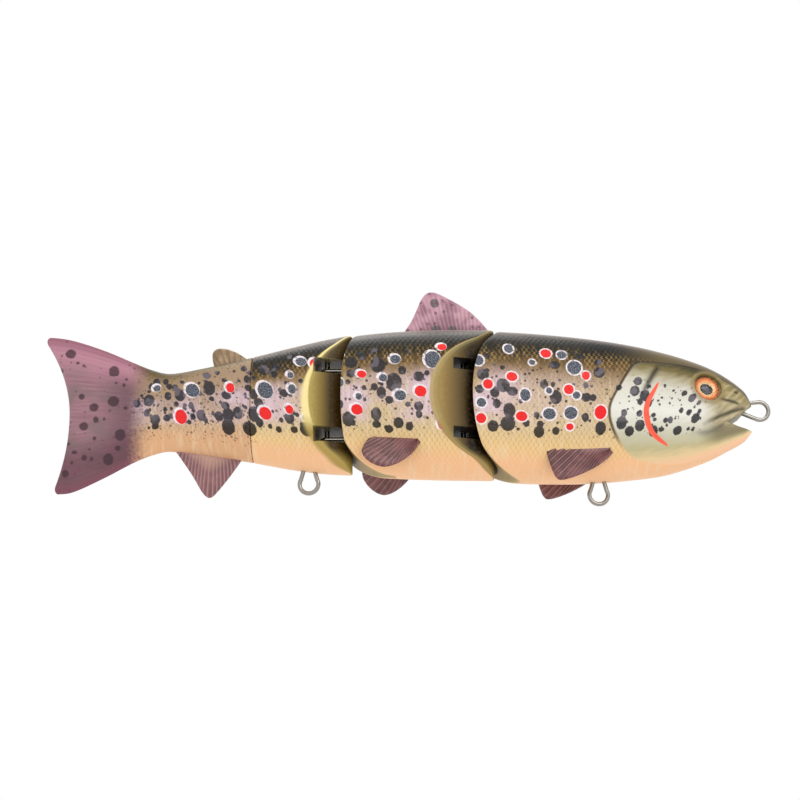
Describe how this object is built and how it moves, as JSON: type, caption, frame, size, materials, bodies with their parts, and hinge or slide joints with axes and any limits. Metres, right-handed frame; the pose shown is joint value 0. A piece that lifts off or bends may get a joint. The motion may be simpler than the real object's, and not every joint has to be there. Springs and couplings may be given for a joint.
{
  "type": "swimbait",
  "caption": "Jointed hard swimbait painted as a brown trout: three shell segments on pin hinges, a soft tail, fins, line tie and belly hook hangers.",
  "frame": {"origin": "centre of the bend of the line tie, on the middle plane of the head", "axes": "+X out of the nose along the head, +Z to the back of the fish, +Y to its left side"},
  "size_m": [0.2065, 0.0421, 0.0621],
  "materials": {
    "painted_shell": "sprayed trout pattern under clear coat over embossed scales",
    "eye_print": "printed orange iris with a dark pupil",
    "eye_lens": "clear domed resin",
    "wire": "bright stainless wire",
    "hinge_wire": "bright stainless wire",
    "ballast": "plain cast weight",
    "dorsal_fin": "translucent soft plastic with spots",
    "paired_fin": "moulded soft plastic with fine rays",
    "soft_tail": "soft plastic, speckled sleeve and mauve rayed fin"
  },
  "bodies": {
    "head": {"head_shell_left": "painted_shell", "head_shell_right": "painted_shell", "eye_iris_left": "eye_print", "eye_iris_right": "eye_print", "eye_lens_left": "eye_lens", "eye_lens_right": "eye_lens", "line_tie": "wire", "front_hook_hanger": "wire", "pectoral_fin_left": "paired_fin", "pectoral_fin_right": "paired_fin", "head_ballast": "ballast", "front_hinge_eye_upper": "hinge_wire", "front_hinge_eye_lower": "hinge_wire"},
    "mid": {"mid_shell_left": "painted_shell", "mid_shell_right": "painted_shell", "dorsal_fin": "dorsal_fin", "pelvic_fin_left": "paired_fin", "pelvic_fin_right": "paired_fin", "mid_ballast": "ballast", "front_hinge_pin": "hinge_wire", "rear_hinge_eye_upper": "hinge_wire", "rear_hinge_eye_lower": "hinge_wire"},
    "rear": {"rear_shell_left": "painted_shell", "rear_shell_right": "painted_shell", "rear_hinge_pin": "hinge_wire", "rear_hook_hanger": "wire", "rear_ballast": "ballast", "tail_sleeve": "soft_tail"},
    "tail": {"tail_fin": "soft_tail"}
  },
  "joints": [
    {"name": "front_hinge", "type": "hinge", "parent": "head", "child": "mid", "pos_m": [-0.0865, 0, 0], "axis": [0, 0, 1], "range_deg": [-18.5, 35.5]},
    {"name": "rear_hinge", "type": "hinge", "parent": "mid", "child": "rear", "pos_m": [-0.12507, 0.00577, 0], "axis": [0, 0, 1], "range_deg": [-32.5, 47.5]},
    {"name": "tail_flex", "type": "hinge", "parent": "rear", "child": "tail", "pos_m": [-0.16977, 0.01858, 0], "axis": [0, 0, 1], "range_deg": [-22, 22], "stiffness_Nm_per_rad": 0.01}
  ]
}
